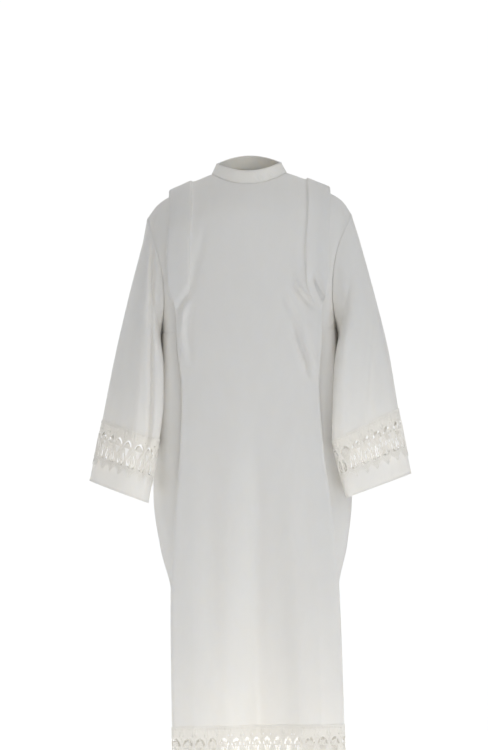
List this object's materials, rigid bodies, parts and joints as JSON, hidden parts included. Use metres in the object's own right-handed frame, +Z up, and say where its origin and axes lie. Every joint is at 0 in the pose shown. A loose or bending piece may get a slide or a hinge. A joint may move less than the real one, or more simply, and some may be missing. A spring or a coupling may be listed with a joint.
{
  "type": "lace-trimmed alb",
  "caption": "White wide-sleeved alb in its worn, hollow form, with stand collar, box pleats at the shoulders, and lace insertions above the cuffs and hem.",
  "frame": {"origin": "centre of the neckline's oval, at the foot of the collar, where the wearer's neck and shoulders hold the garment", "axes": "+Z up, front facing -Y, the wearer's left towards +X"},
  "size_m": [0.777, 0.4251, 1.5374],
  "materials": {
    "white_cloth": "matt white polyester and cotton plain weave with a soft hand",
    "cream_lace": "cream embroidered lace with a faint lustre on its cords"
  },
  "bodies": {
    "root": {"front_panel": "white_cloth", "back_panel": "white_cloth", "sleeve_left": "white_cloth", "sleeve_right": "white_cloth", "collar": "white_cloth", "cuff_band_left": "white_cloth", "cuff_band_right": "white_cloth", "hem_band_front": "white_cloth", "hem_band_back": "white_cloth", "lace_cuff_left_back": "cream_lace", "lace_cuff_left_front": "cream_lace", "lace_cuff_right_back": "cream_lace", "lace_cuff_right_front": "cream_lace", "lace_hem_front": "cream_lace", "lace_hem_back": "cream_lace"}
  },
  "joints": []
}
